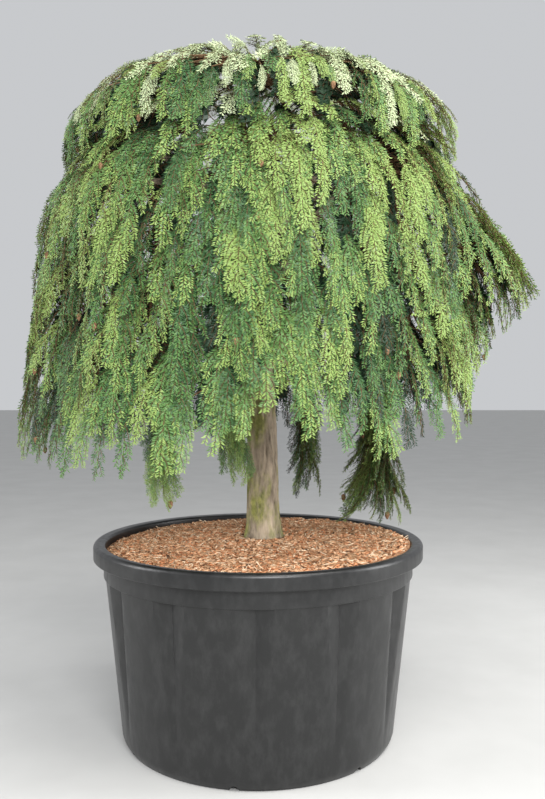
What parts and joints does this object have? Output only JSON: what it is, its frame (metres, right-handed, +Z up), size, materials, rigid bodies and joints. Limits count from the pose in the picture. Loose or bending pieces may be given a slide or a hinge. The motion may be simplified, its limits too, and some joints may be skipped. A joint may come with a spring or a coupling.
{
  "type": "weeping hemlock standard in a nursery container",
  "caption": "Weeping conifer grafted as a standard, with a domed crown of hanging green foliage on one leaning trunk, in a round grooved nursery container filled with bark mulch.",
  "frame": {"origin": "centre of the container's flat underside", "axes": "+Z up, -Y towards the plant's front as in the picture, +X to the right seen from the front"},
  "size_m": [1.5024, 1.3169, 1.937],
  "materials": {
    "container": "moulded, slightly glossy",
    "mulch": "loose chips, dry and matt",
    "trunk_bark": "fissured and flaking, with moss",
    "bough_bark": "rough and matt",
    "needles": "soft short needles, slightly waxy"
  },
  "bodies": {
    "root": {"pot": "container", "soil": "mulch", "trunk": "trunk_bark", "bough_right": "bough_bark", "bough_back_right": "bough_bark", "bough_back": "bough_bark", "bough_back_left": "bough_bark", "bough_left": "bough_bark", "bough_front_left": "bough_bark", "bough_front": "bough_bark", "bough_front_right": "bough_bark", "bough_cap_right": "bough_bark", "bough_cap_back": "bough_bark", "bough_cap_left": "bough_bark", "bough_cap_front": "bough_bark", "bough_tail_low_right": "bough_bark", "bough_tail_low_left": "bough_bark", "bough_tail_behind_trunk": "bough_bark", "bough_tail_before_trunk": "bough_bark", "foliage_right": "needles", "foliage_back_right": "needles", "foliage_back": "needles", "foliage_back_left": "needles", "foliage_left": "needles", "foliage_front_left": "needles", "foliage_front": "needles", "foliage_front_right": "needles", "foliage_cap_right": "needles", "foliage_cap_back": "needles", "foliage_cap_left": "needles", "foliage_cap_front": "needles", "foliage_tail_low_right": "needles", "foliage_tail_low_left": "needles", "foliage_tail_behind_trunk": "needles", "foliage_tail_before_trunk": "needles", "foliage_top": "needles"}
  },
  "joints": []
}
